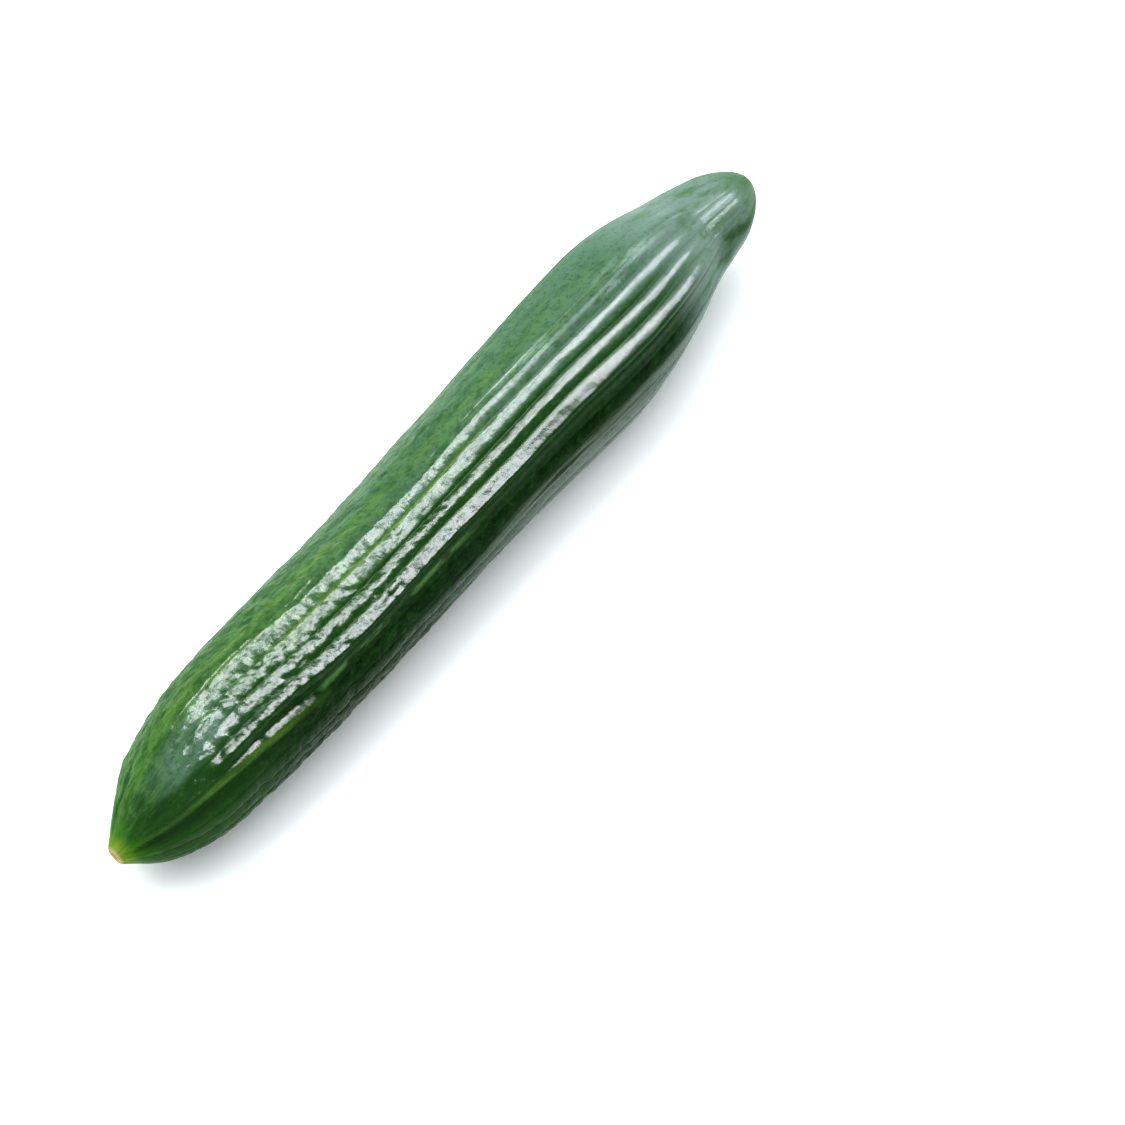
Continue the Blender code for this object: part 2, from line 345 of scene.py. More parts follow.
def fold_depth(ridge, distance):
    """Depth of the gathered folds near the blossom end."""
    depth = 0.0
    for groove, deep_mm, reach_mm in FOLDS_MM:
        apart = ridges_apart(ridge, groove)
        off = (distance - FOLD_MIDDLE) / (reach_mm * MM)
        depth += deep_mm * MM * math.exp(-(apart / FOLD_WIDTH) ** 2 - off * off)
    return depth


print("deepest fold in mm:", max(fold[1] for fold in FOLDS_MM))

# %% [markdown]
# ## Broad relief
# Now the ridges, the flattened side, the edges, slow swellings, crinkles and folds are added up. The
# ridges are low in the blossom half and stand out towards the stem, and everything fades at the two
# ends, where the skin closes smoothly.

# %% Broad relief
RIDGE_DEPTH = 0.38 * MM
# How much of the full depth the ridges have in the blossom half, in the middle, in the stem half and
# at the ends, and how uneven they are.
RIDGES_BLOSSOM = 0.50
RIDGES_MIDDLE = 0.64
RIDGES_STEM = 1.10
RIDGES_AT_ENDS = 0.10
RIDGES_UNEVEN = 0.15
MIDDLE_SPAN = (-0.085, -0.050)
STEM_SPAN = (-0.015, 0.045)
# One narrow ridge stands sharper than the rest.
NARROW_RIDGE = 24.5
NARROW_REACH = 0.45
NARROW_GAIN = 1.2
NARROW_SPAN = (-0.085, -0.060, 0.025, 0.070)
SWELL_HEIGHT = 0.30 * MM
CRINKLE_HEIGHT = 0.28 * MM
CRINKLE_DROP = 0.75
CRINKLE_END = (-0.020, 0.050)
BODY_SPAN = (-0.1595, -0.138, 0.112, 0.142)
SKIN_SPAN = (-0.1600, -0.152, 0.150, 0.1625)
UNEVEN_GRAIN = (0.030, 0.009, 11.0)
SWELL_GRAIN = (0.060, 0.014, 23.0)
CRINKLE_GRAIN = (0.016, 0.007, 37.0)


def ridge_strength(ridge, angle, distance):
    """Share of the full depth that the ridges have at this place."""
    strength = RIDGES_BLOSSOM
    strength += (RIDGES_MIDDLE - RIDGES_BLOSSOM) * smooth_step(*MIDDLE_SPAN, distance)
    strength += (RIDGES_STEM - RIDGES_MIDDLE) * smooth_step(*STEM_SPAN, distance)
    strength += RIDGES_UNEVEN * field(distance, angle, *UNEVEN_GRAIN)
    narrow = math.exp(-(ridges_apart(ridge, NARROW_RIDGE) / NARROW_REACH) ** 2)
    strength *= 1.0 + NARROW_GAIN * narrow * between(distance, *NARROW_SPAN)
    strength *= 1.0 - CALM_DROP * calm_share(ridge, distance)
    body = between(distance, *BODY_SPAN)
    return strength * (RIDGES_AT_ENDS + (1.0 - RIDGES_AT_ENDS) * body)


def broad_relief(ridge, angle, distance):
    """Height of the skin over the plain outline, as in the solid."""
    body = between(distance, *BODY_SPAN)
    ridges = RIDGE_DEPTH * ridge_shape(ridge) * ridge_strength(ridge, angle, distance)
    swell = SWELL_HEIGHT * field(distance, angle, *SWELL_GRAIN) * body
    rough = 1.0 - CRINKLE_DROP * smooth_step(*CRINKLE_END, distance)
    crinkle = CRINKLE_HEIGHT * field(distance, angle, *CRINKLE_GRAIN) * rough * body
    height = ridges + flat_side(ridge, distance) + edge_height(ridge, distance) + swell + crinkle
    return (height - fold_depth(ridge, distance)) * between(distance, *SKIN_SPAN)


print("ridge height at its strongest in mm:", round(2.0 * RIDGE_DEPTH * RIDGES_STEM / MM, 2))

# %% [markdown]
# ## Fine relief
# The fine mesh can also hold what the solid is too coarse for. Creases cut the ridges into short
# cushions in the blossom half, four shallow dips run round it, and the skin has wrinkles and dents a
# few millimetres across. They are modelled and not left to bump, because they show in the outline too.
# They are strong at the blossom half and fade towards the smooth neck.

# %% Cushions, creases and dips
CUSHION_LENGTH = 6.5 * MM
CUSHION_WANDER = 0.013
CUSHION_BLUNTNESS = 0.5
CUSHION_EDGE = 0.6
CREASE_SHARPNESS = 0.14
CREASE_GRAIN = (0.0070, 0.0080, 5.0)
DIPS_MM = (-115.0, -95.0, -71.0, -44.0)
DIP_REACH = 1.9 * MM
DIP_WANDER = 3.5 * MM
DIP_WANDER_GRAIN = (1.0, 0.012, 91.0)


def crease(distance, turn, length, width, seed):
    """1 on the borders between cells of the given size, 0 inside them."""
    around = MEAN_RADIUS / width
    spot = Vector((math.cos(turn) * around, math.sin(turn) * around, distance / length + seed))
    nearest = noise.voronoi(spot)[0]
    return math.exp(-((nearest[1] - nearest[0]) / CREASE_SHARPNESS) ** 2)


def cushions(ridge, distance):
    """Rounded cushions in a row along each ridge: 0 at their tops, -1 in the creases between them."""
    row = math.floor(ridge)
    start = 2.6 * noise.noise(Vector((row * 0.37, 4.1, 0.0)))
    wander = 0.5 * noise.noise(Vector((row * 1.7, distance / CUSHION_WANDER, 9.0)))
    step = distance / CUSHION_LENGTH + start + wander
    top = abs(math.sin(math.pi * step)) ** CUSHION_BLUNTNESS
    return (top - 1.0) * abs(math.sin(math.pi * ridge)) ** CUSHION_EDGE


def dips(distance, turn):
    """Shallow dips that run round the blossom half and wander a little."""
    wander = DIP_WANDER * field(0.0, turn, *DIP_WANDER_GRAIN)
    return sum(math.exp(-((distance - dip * MM + wander) / DIP_REACH) ** 2) for dip in DIPS_MM)


print("cushions along the fruit:", round((stations[-1, 0] - stations[0, 0]) / CUSHION_LENGTH))

# %% Fine relief
CUSHION_DEPTH = 0.30 * MM
CREASE_DEPTH = 0.22 * MM
DIP_DEPTH = 0.45 * MM
DENT_DEPTH = 0.038 * MM
WRINKLE_DEPTH = 0.055 * MM
WAVY_GAIN = 0.7
FINE_SPAN = (-0.156, -0.132, 0.085, 0.135)
ROUGH_END = (-0.055, 0.06)
ROUGH_DROP = 0.85
CUSHION_END = (-0.065, -0.025)
WAVY_SPAN = (-0.070, -0.030, 0.040, 0.080)
CUSHION_GRAIN = (0.020, 0.008, 81.0)
DIP_GRAIN = (0.020, 0.010, 97.0)
DENT_GRAIN = (0.0030, 0.0026, 51.0)
WRINKLE_GRAIN = (0.0085, 0.0028, 67.0)


def fine_relief(ridge, distance):
    """Cushions, creases, dips, dents and wrinkles that only the fine mesh can hold."""
    turn = ridge * math.tau / RIDGES
    rough = 1.0 - ROUGH_DROP * smooth_step(*ROUGH_END, distance)
    rows = 1.0 - smooth_step(*CUSHION_END, distance)
    uneven = 0.75 + 0.6 * field(distance, turn, *CUSHION_GRAIN)
    height = CUSHION_DEPTH * cushions(ridge, distance) * rows * uneven
    height -= CREASE_DEPTH * crease(distance, turn, *CREASE_GRAIN) * rough
    height -= DIP_DEPTH * dips(distance, turn) * (0.5 + 0.5 * field(distance, turn, *DIP_GRAIN))
    height += DENT_DEPTH * field(distance, turn, *DENT_GRAIN) * (0.35 + 0.65 * rough)
    wavy = 1.0 + WAVY_GAIN * between(distance, *WAVY_SPAN)
    height += WRINKLE_DEPTH * wavy * field(distance, turn, *WRINKLE_GRAIN)
    return height * between(distance, *FINE_SPAN)


print("depths in mm: cushions", round(CUSHION_DEPTH / MM, 2), "creases", round(CREASE_DEPTH / MM, 2),
      "dips", round(DIP_DEPTH / MM, 2))

# %% [markdown]
# ## The mesh
# Rings of points go round the fruit at every station, and neighbouring rings are joined with four-sided
# faces. The underside is softly flattened to the floor plane on small spots, as in the solid, so the
# fruit lies still. We keep a few values on each point, such as how deep it lies in a groove, because the
# material reads them later.

# %% Points of the skin
COLUMNS_PER_RIDGE = 13
SINK = 0.2 * MM
SOFT_FLOOR = 0.25 * MM


def settle(height):
    """Softly flattens what would lie below the floor to the floor plane."""
    if height <= -SOFT_FLOOR:
        return 0.0
    if height < SOFT_FLOOR:
        return (height + SOFT_FLOOR) ** 2 / (4.0 * SOFT_FLOOR)
    return height


points = []
groove_depth = []
skin_place = []
ridge_steps = np.arange(RIDGES * COLUMNS_PER_RIDGE) / COLUMNS_PER_RIDGE
for (distance, radius), (centre, side, top) in zip(stations[1:-1], station_frames[1:-1]):
    for ridge in ridge_steps:
        angle = ridge_angle(ridge, distance)
        small = fine_relief(ridge, distance)
        reach = radius + broad_relief(ridge, angle, distance) + small
        point = centre + (side * math.sin(angle) + top * math.cos(angle)) * reach
        points.append((point.x, point.y, settle(point.z - SINK)))
        groove_depth.append(1.0 - abs(math.sin(math.pi * ridge)))
        turn = ridge * math.tau / RIDGES
        skin_place.append((math.cos(turn), math.sin(turn), distance))
for end in (0, -1):
    scar_centre = station_frames[end][0]
    points.append((scar_centre.x, scar_centre.y, scar_centre.z - SINK))
    groove_depth.append(0.0)
    skin_place.append((0.0, 0.0, stations[end, 0]))
print("points:", len(points))

# %% Faces between the rings
columns = len(ridge_steps)
ring_count = STATIONS - 2
faces = []
for ring in range(ring_count - 1):
    for column in range(columns):
        here = ring * columns + column
        beside = ring * columns + (column + 1) % columns
        faces.append((here, beside, beside + columns, here + columns))
last_ring = (ring_count - 1) * columns
for column in range(columns):
    beside = (column + 1) % columns
    faces.append((beside, column, len(points) - 2))
    faces.append((last_ring + column, last_ring + beside, len(points) - 1))
print("triangles:", sum(len(face) - 2 for face in faces))

# %% Cucumber object
# The fruit is moved sideways so that the middle of its box is the middle of the solid's box.
points = np.array(points)
middle = (points.min(axis=0) + points.max(axis=0)) / 2.0
cad_middle = (cad_low + cad_high) / 2.0
points[:, 0] += cad_middle.x - middle[0]
points[:, 1] += cad_middle.y - middle[1]

cucumber_mesh = bpy.data.meshes.new("cucumber_skin_mesh")
cucumber_mesh.from_pydata(points.tolist(), [], faces)
cucumber_mesh.update()
cucumber_mesh.polygons.foreach_set("use_smooth", [True] * len(cucumber_mesh.polygons))
groove_values = cucumber_mesh.attributes.new("groove", "FLOAT", "POINT")
groove_values.data.foreach_set("value", groove_depth)
place_values = cucumber_mesh.attributes.new("skin_place", "FLOAT_VECTOR", "POINT")
place_values.data.foreach_set("vector", np.array(skin_place).ravel())
cucumber = bpy.data.objects.new("cucumber_fruit", cucumber_mesh)
bpy.context.scene.collection.objects.link(cucumber)
print("faces:", len(cucumber_mesh.polygons))

# %% [markdown]
# ## A check against the solid
# Before the fine mesh takes the place of the solid, we measure how far apart the two are. A search tree
# over the solid's faces finds the nearest spot quickly, so testing a point here and there is enough.

# %% Distance to the solid
CHECK_EVERY = 37
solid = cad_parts["cucumber"]
solid_tree = BVHTree.FromObject(solid, bpy.context.evaluated_depsgraph_get())
gaps = [solid_tree.find_nearest(Vector(point))[3] for point in points[::CHECK_EVERY]]
print("largest distance to the solid in mm:", round(max(gaps) / MM, 2))

# %% [markdown]
# ## The skin
# The skin of a greenhouse cucumber is dark green with paler streaks along it, yellow-green lines in some
# grooves, a milky bloom of wax towards the stem and a pale blossom tip. Some layers are painted light and
# shade: a paler side towards the window light, a milky sheen, a reflection of the floor on the lower rim,
# shade in the grooves and soft highlights. It could be painted as an image, but a procedural material
# stays sharp at any distance and can be changed by its numbers. One Principled shader does all of it.
# Its colour is laid on in thin layers, each with its own mask, and a clear coat over it stands for the
# thin, shiny wax.

# %% Skin material and where we are on the fruit
skin = bpy.data.materials.new("cucumber_skin")
skin.use_nodes = True
nodes = skin.node_tree.nodes
links = skin.node_tree.links
shader = nodes["Principled BSDF"]
cucumber_mesh.materials.append(skin)

place = nodes.new("ShaderNodeAttribute")
place.attribute_name = "skin_place"
groove = nodes.new("ShaderNodeAttribute")
groove.attribute_name = "groove"
parts = nodes.new("ShaderNodeSeparateXYZ")
links.new(place.outputs["Vector"], parts.inputs["Vector"])
in_groove = groove.outputs["Fac"]
turn_cosine = parts.outputs["X"]
turn_sine = parts.outputs["Y"]
along = parts.outputs["Z"]
print("values read from the mesh:", place.attribute_name, groove.attribute_name)

# %% [markdown]
# ## Masks and layers
# A mask is a value from 0 to 1 that says how much of a layer shows. We make masks from three things:
# where we are along the fruit, which side of it faces us, and noise that is stretched along the ridges.
# A few small helpers keep the long chain of nodes readable.

# %% Noise stretched along the ridges


def stretched_noise(around, along_metre, detail=3.0, roughness=0.55, shift=0.0):
    """Noise whose grain is set round the fruit (per turn) and along it (per metre)."""
    mapping = nodes.new("ShaderNodeMapping")
    mapping.inputs["Scale"].default_value = (around, around, along_metre)
    mapping.inputs["Location"].default_value = (shift, shift * 0.7, shift * 1.3)
    links.new(place.outputs["Vector"], mapping.inputs["Vector"])
    texture = nodes.new("ShaderNodeTexNoise")
    texture.inputs["Scale"].default_value = 1.0
    texture.inputs["Detail"].default_value = detail
    texture.inputs["Roughness"].default_value = roughness
    links.new(mapping.outputs["Vector"], texture.inputs["Vector"])
    return texture.outputs["Fac"]


milk_patches = stretched_noise(5.0, 60.0, detail=4.0, roughness=0.6, shift=31.0)
end_patches = stretched_noise(4.0, 90.0, detail=3.0, roughness=0.6, shift=45.0)
print("skin nodes with the shared noise:", len(nodes))

# %% Masks


def reshape(value, low, high, to_low=0.0, to_high=1.0):
    """Maps a range to another, with soft ends."""
    node = nodes.new("ShaderNodeMapRange")
    node.interpolation_type = "SMOOTHSTEP"
    node.inputs["From Min"].default_value = low
    node.inputs["From Max"].default_value = high
    node.inputs["To Min"].default_value = to_low
    node.inputs["To Max"].default_value = to_high
    links.new(value, node.inputs["Value"])
    return node.outputs["Result"]


def times(first, *others):
    """Masks multiplied together. Any but the first may be a plain number."""
    product = first
    for other in others:
        node = nodes.new("ShaderNodeMath")
        node.operation = "MULTIPLY"
        links.new(product, node.inputs[0])
        if isinstance(other, float):
            node.inputs[1].default_value = other
        else:
            links.new(other, node.inputs[1])
        product = node.outputs["Value"]
    return product


def window(value, start, full, fading, gone, strength=1.0):
    """The strength between full and fading, and 0 outside start and gone."""
    return times(reshape(value, start, full), reshape(value, fading, gone, strength, 0.0))


def weakened(mask, kept):
    """1 where the mask is 0, and only the kept part where it is 1."""
    return reshape(mask, 0.0, 1.0, 1.0, kept)


print("skin nodes so far:", len(nodes))

# %% [markdown]
# ## Sides of the fruit
# The turn of each point is stored as a cosine and a sine. A dot product with a direction then says how
# much the point faces that way. An angle would jump where a full turn closes, and this value doesn't.

# %% Sides


def tilted(value, factor, offset):
    """The value times a factor, plus an offset that changes from place to place."""
    node = nodes.new("ShaderNodeMath")
    node.operation = "MULTIPLY_ADD"
    links.new(value, node.inputs[0])
    node.inputs[1].default_value = factor
    links.new(offset, node.inputs[2])
    return node.outputs["Value"]


def towards(turn_deg):
    """1 on the side of the fruit at this turn, 0 a quarter turn away from it, -1 opposite."""
    node = nodes.new("ShaderNodeVectorMath")
    node.operation = "DOT_PRODUCT"
    turn = math.radians(turn_deg)
    node.inputs[1].default_value = (math.cos(turn), math.sin(turn), 0.0)
    links.new(place.outputs["Vector"], node.inputs[0])
    return node.outputs["Value"]


LIT_SIDE_DEG = -115.0
FAR_SIDE_DEG = -205.0
SHADED_SIDE_DEG = 64.0
facing = towards(LIT_SIDE_DEG)
far_side = reshape(towards(FAR_SIDE_DEG), 0.15, 0.60)
by_first_groove = reshape(turn_cosine, 0.0, 0.3)
print("sides in degrees:", LIT_SIDE_DEG, FAR_SIDE_DEG, SHADED_SIDE_DEG)

# %% Layers


def blend_colour(share, below, above):
    """Lays the colour above over the colour below, by the share."""
    node = nodes.new("ShaderNodeMix")
    node.data_type = "RGBA"
    links.new(share, node.inputs["Factor"])
    for name, colour in (("A", below), ("B", above)):
        socket = [item for item in node.inputs if item.name == name and item.type == "RGBA"][0]
        if isinstance(colour, tuple):
            socket.default_value = (*colour, 1.0)
        else:
            links.new(colour, socket)
    return [item for item in node.outputs if item.type == "RGBA"][0]


SHADE_GREEN = (0.004, 0.023, 0.003)
DEEP_GREEN = (0.018, 0.068, 0.013)
LEAF_GREEN = (0.050, 0.135, 0.034)
PALE_GREEN = (0.105, 0.205, 0.068)
YELLOW_GREEN = (0.115, 0.205, 0.035)
BLOOM_AND_SHEEN_GREEN = (0.115, 0.190, 0.145)
print("darkest and palest shared green:", SHADE_GREEN, PALE_GREEN)

# %% [markdown]
# ## Lit side and shaded side
# The side towards the window light is painted a pale leaf green with blotches, and the opposite one
# almost black: painted light and shade laid into the colour. We start with the dark colours and let
# the pale ones grow towards the lit side and towards the stem.

# %% Ground colour, blotches and dark spots
# Painted shade: almost black green on the side away from the window light, deeper green towards it. Near
# the blossom end the shaded side is painted a little lighter.
colour = blend_colour(reshape(facing, -0.70, -0.05), SHADE_GREEN, DEEP_GREEN)
blossom_leaf = times(reshape(along, -0.150, -0.085, 1.0, 0.0), reshape(facing, -0.9, 0.1, 0.5, 0.0))
colour = blend_colour(blossom_leaf, colour, LEAF_GREEN)
# Painted light: leaf green grows on the side that faces the window light, more towards the stem.
painted_light_leaf = times(reshape(facing, -0.10, 0.70), reshape(along, -0.10, 0.10, 0.72, 1.0))
colour = blend_colour(painted_light_leaf, colour, LEAF_GREEN)

blotches = stretched_noise(5.5, 150.0, detail=4.0, roughness=0.6, shift=4.0)
# The blotches are the skin's own, but they show mostly on the lit side, so they are partly painted light.
blotches_toward_light = times(reshape(blotches, 0.44, 0.66), reshape(facing, -0.35, 0.75, 0.05, 0.75))
colour = blend_colour(blotches_toward_light, colour, PALE_GREEN)
dark_spots = stretched_noise(8.0, 230.0, detail=5.0, roughness=0.65, shift=14.0)
colour = blend_colour(reshape(dark_spots, 0.50, 0.68, 0.0, 0.6), colour, DEEP_GREEN)
print("skin nodes so far:", len(nodes))

# %% [markdown]
# ## Painted sheen, mottle and the broad yellow line
# A milky painted sheen, the soft reflection of the window light, lies on the lit side, most of all in
# the stem half. Through it shows one broad, broken yellow-green line, and over everything lies a fine
# mottle of darker and paler flecks, which is what makes the skin look grown and not dyed.

# %% Painted sheen and broad line
# Painted sheen: the soft reflection of the window light, painted as a milky green on the lit side.
window_sheen = times(
    reshape(facing, 0.0, 0.30, 0.0, 0.66),
    reshape(milk_patches, 0.30, 0.70, 0.6, 1.0),
    reshape(along, -0.120, 0.000, 0.12, 1.0))
colour = blend_colour(window_sheen, colour, BLOOM_AND_SHEEN_GREEN)

broad_line = times(
    window(facing, 0.52, 0.63, 0.70, 0.82),
    reshape(milk_patches, 0.42, 0.60, 0.05, 0.42),
    reshape(along, 0.060, 0.110, 1.0, 0.0))
colour = blend_colour(broad_line, colour, YELLOW_GREEN)

# Painted sheen: a soft milky reflection painted near the blossom end.
blossom_sheen = times(
    window(along, -0.148, -0.134, -0.122, -0.104),
    window(facing, -0.20, 0.05, 0.35, 0.60),
    reshape(milk_patches, 0.35, 0.60, 0.35, 0.80))
colour = blend_colour(blossom_sheen, colour, BLOOM_AND_SHEEN_GREEN)
print("skin nodes so far:", len(nodes))

# %% Far side and mottle
MOTTLE_GREEN = (0.028, 0.092, 0.020)
FAR_SIDE_DARKNESS = 0.55
colour = blend_colour(times(far_side, FAR_SIDE_DARKNESS), colour, DEEP_GREEN)
mottle = stretched_noise(7.0, 200.0, detail=4.0, roughness=0.65, shift=71.0)
lit_side = reshape(facing, -0.10, 0.40, 0.15, 1.0)
dark_flecks = times(reshape(mottle, 0.50, 0.64, 0.0, 0.55), lit_side)
colour = blend_colour(dark_flecks, colour, MOTTLE_GREEN)
pale_flecks = times(reshape(mottle, 0.36, 0.50, 0.50, 0.0), lit_side)
colour = blend_colour(pale_flecks, colour, PALE_GREEN)
print("skin nodes so far:", len(nodes))

# %% [markdown]
# ## Lines in the grooves, the painted floor reflection and the lower edge
# Some grooves carry a thin yellow-green line. One of them runs right under the first bright streak.
# Along the lower right a painted reflection of the floor pales the rim in fine stripes, and under the
# sharper long edge lies a yellow-green band with a few pale dashes before it.

# %% Thin lines
line_choice = stretched_noise(4.5, 9.0, detail=1.0, shift=9.0)
lines = times(
    reshape(in_groove, 0.0, 1.0),
    reshape(line_choice, 0.46, 0.64),
    reshape(facing, 0.05, 0.35, 0.0, 0.28),
    reshape(facing, 0.80, 0.92, 1.0, 0.1))
colour = blend_colour(lines, colour, YELLOW_GREEN)
print("skin nodes so far:", len(nodes))

# %% Painted floor reflection in stripes on the shaded rim
# Painted reflection: the pale floor mirrored in the wax along the lower rim, painted as a grey green.
FLOOR_REFLECTION_GREEN = (0.150, 0.190, 0.158)
REFLECTION_RAGGEDNESS = 0.60
reflection_streaks = stretched_noise(9.0, 16.0, detail=3.0, roughness=0.6, shift=103.0)
ragged_reflection = tilted(reflection_streaks, REFLECTION_RAGGEDNESS, towards(SHADED_SIDE_DEG))
floor_reflection = times(reshape(ragged_reflection, 1.06, 1.20, 0.0, 0.85), reshape(along, -0.070, 0.050))
colour = blend_colour(floor_reflection, colour, FLOOR_REFLECTION_GREEN)
print("skin nodes so far:", len(nodes))

# %% Line under the first streak, dashes and band
first_line = times(
    window(facing, 0.19, 0.24, 0.31, 0.36),
    reshape(in_groove, 0.45, 0.90),
    window(along, -0.095, -0.070, 0.000, 0.030, 0.7))
colour = blend_colour(first_line, colour, YELLOW_GREEN)

dashes = times(
    window(turn_sine, 0.03, 0.08, 0.10, 0.16),
    window(along, -0.100, -0.085, -0.030, 0.010),
    reshape(milk_patches, 0.46, 0.58, 0.0, 0.7),
    by_first_groove)
colour = blend_colour(dashes, colour, PALE_GREEN)

# The band crosses the ridges at a slant: it moves down this much for each metre towards the stem.
BAND_SLANT = -2.6
below_edge = tilted(along, BAND_SLANT, turn_sine)
band = times(
    window(below_edge, 0.335, 0.395, 0.42, 0.53),
    by_first_groove,
    reshape(along, -0.100, -0.078, 0.55, 0.0),
    reshape(milk_patches, 0.35, 0.60, 0.4, 1.0),
    reshape(along, -0.150, -0.132, 0.4, 1.0))
colour = blend_colour(band, colour, YELLOW_GREEN)
print("skin nodes so far:", len(nodes))

# %% [markdown]
# ## Bloom, sheen and the grooves of the stem half
# Towards the stem the skin turns a pale grey-green, partly wax bloom and partly painted sheen, which is
# strongest on the lit side. The painted sheen is taken out of the grooves between the bright streaks,
# which get a clear, deep green: painted shade. That contrast is what makes the ridges readable. Faint
# pale patches above the streaks are a painted highlight.

# %% Bloom and sheen, groove shade and painted highlight patches
GROOVE_SHADE_GREEN = (0.016, 0.075, 0.008)
HIGHLIGHT_PALE = (0.340, 0.420, 0.385)
bloom_edge = stretched_noise(3.0, 40.0, detail=3.0, shift=21.0)
# Wax bloom and painted sheen: the pale grey-green is almost gone on the shaded side.
bloom_and_sheen = times(
    reshape(along, 0.0, 0.125),
    reshape(facing, -0.55, 0.3, 0.02, 0.8),
    reshape(bloom_edge, 0.30, 0.60, 0.5, 1.0),
    weakened(far_side, 0.5))
colour = blend_colour(bloom_and_sheen, colour, BLOOM_AND_SHEEN_GREEN)

# Painted shade: a clear deep green in the grooves between the bright streaks.
groove_shade = times(
    reshape(in_groove, 0.25, 0.75, 0.0, 0.70),
    window(facing, -0.40, -0.30, 0.10, 0.20),
    window(along, -0.105, -0.075, 0.095, 0.125))
colour = blend_colour(groove_shade, colour, GROOVE_SHADE_GREEN)

patch_noise = stretched_noise(8.0, 60.0, detail=3.0, roughness=0.5, shift=94.0)
# Painted highlight: soft pale patches in place of the faint upper streak, where the wax is thin.
highlight_patches = times(
    window(facing, 0.26, 0.36, 0.50, 0.62),
    window(along, 0.015, 0.045, 0.100, 0.118),
    reshape(patch_noise, 0.44, 0.66, 0.0, 0.55))
colour = blend_colour(highlight_patches, colour, HIGHLIGHT_PALE)
print("skin nodes so far:", len(nodes))

# %% [markdown]
# ## Neck, tip and specks
# The neck is the palest part, with green patches, one dark patch on its shaded side and a fresh green
# end. At the other end the tip turns yellow-green round the brown scar of the blossom. Last come specks
# of about a millimetre, which only show close up.

# %% Neck
NECK_GREEN = (0.190, 0.258, 0.222)
APEX_GREEN = (0.090, 0.175, 0.080)
near_stem = times(
    reshape(along, 0.088, 0.122, 0.0, 0.92),
    reshape(bloom_edge, 0.30, 0.60, 0.75, 1.0))
colour = blend_colour(near_stem, colour, NECK_GREEN)
green_patches = times(reshape(end_patches, 0.44, 0.72, 0.0, 0.55), reshape(along, 0.100, 0.130))
colour = blend_colour(green_patches, colour, LEAF_GREEN)
dark_patch = times(
    window(turn_sine, -0.40, 0.10, 0.15, 0.70),
    window(along, 0.124, 0.139, 0.145, 0.162, 0.85),
    reshape(end_patches, 0.35, 0.60, 0.5, 1.0),
    by_first_groove)
colour = blend_colour(dark_patch, colour, DEEP_GREEN)
colour = blend_colour(reshape(along, 0.1480, 0.1610, 0.0, 0.80), colour, APEX_GREEN)
print("skin nodes so far:", len(nodes))

# %% Blossom tip and scar
TIP_GREEN = (0.048, 0.160, 0.010)
TIP_YELLOW = (0.220, 0.300, 0.045)
SCAR_BROWN = (0.480, 0.330, 0.200)
tip = times(reshape(along, -0.1590, -0.1500, 1.0, 0.0), reshape(end_patches, 0.35, 0.60, 0.5, 1.0))
colour = blend_colour(tip, colour, TIP_GREEN)
yellow = times(reshape(along, -0.1604, -0.1555, 1.0, 0.0), reshape(end_patches, 0.35, 0.60, 1.0, 0.5))
colour = blend_colour(yellow, colour, TIP_YELLOW)
scar = times(reshape(along, -0.1605, -0.1597, 0.9, 0.0), reshape(end_patches, 0.30, 0.65, 1.0, 0.6))
colour = blend_colour(scar, colour, SCAR_BROWN)
print("skin nodes so far:", len(nodes))

# %% Specks
specks = stretched_noise(18.0, 620.0, detail=3.0, roughness=0.6, shift=52.0)
dark_specks = times(reshape(specks, 0.50, 0.72, 0.0, 0.45), reshape(along, 0.080, 0.120, 1.0, 0.45))
colour = blend_colour(dark_specks, colour, DEEP_GREEN)
pale_specks = times(reshape(specks, 0.28, 0.46, 0.35, 0.0), reshape(facing, -0.6, 0.1, 0.1, 1.0))
colour = blend_colour(pale_specks, colour, PALE_GREEN)
links.new(colour, shader.inputs["Base Color"])
print("skin nodes with the whole colour:", len(nodes))

# %% [markdown]
# ## The wax
# A thin layer of wax makes the skin shine. The clear coat of the shader is that layer, and its weight
# says how much of it is left: little in the grooves, on the worn shaded side and in streaks on the
# neck, and full on the crests. The flesh under it has no gloss of its own. All other values of the coat
# are the same everywhere.

# %% Wax
wax_patches = stretched_noise(15.0, 420.0, detail=3.0, roughness=0.6, shift=61.0)
neck_streaks = stretched_noise(6.0, 25.0, detail=2.0, roughness=0.5, shift=83.0)
worn_side = window(facing, -0.86, -0.76, -0.54, -0.46)
worn_patches = times(reshape(wax_patches, 0.34, 0.50, 0.55, 0.0), reshape(along, -0.030, 0.060, 1.0, 0.35))
worn_neck = times(reshape(neck_streaks, 0.36, 0.52, 0.80, 0.0), reshape(along, 0.118, 0.130))
worn_above = times(reshape(facing, 0.24, 0.36), window(along, 0.020, 0.070, 0.112, 0.126))
wax = times(
    weakened(worn_side, 0.35),
    reshape(facing, 0.45, 0.75, 1.0, 0.6),
    reshape(in_groove, 0.72, 0.92, 1.0, 0.2),
    reshape(along, 0.098, 0.128, 1.0, 0.70),
    weakened(worn_patches, 0.0),
    reshape(facing, -0.10, 0.10, 1.0, 0.85),
    weakened(worn_neck, 0.0),
    weakened(worn_above, 0.30))
links.new(wax, shader.inputs["Coat Weight"])
print("skin nodes with the wax:", len(nodes))

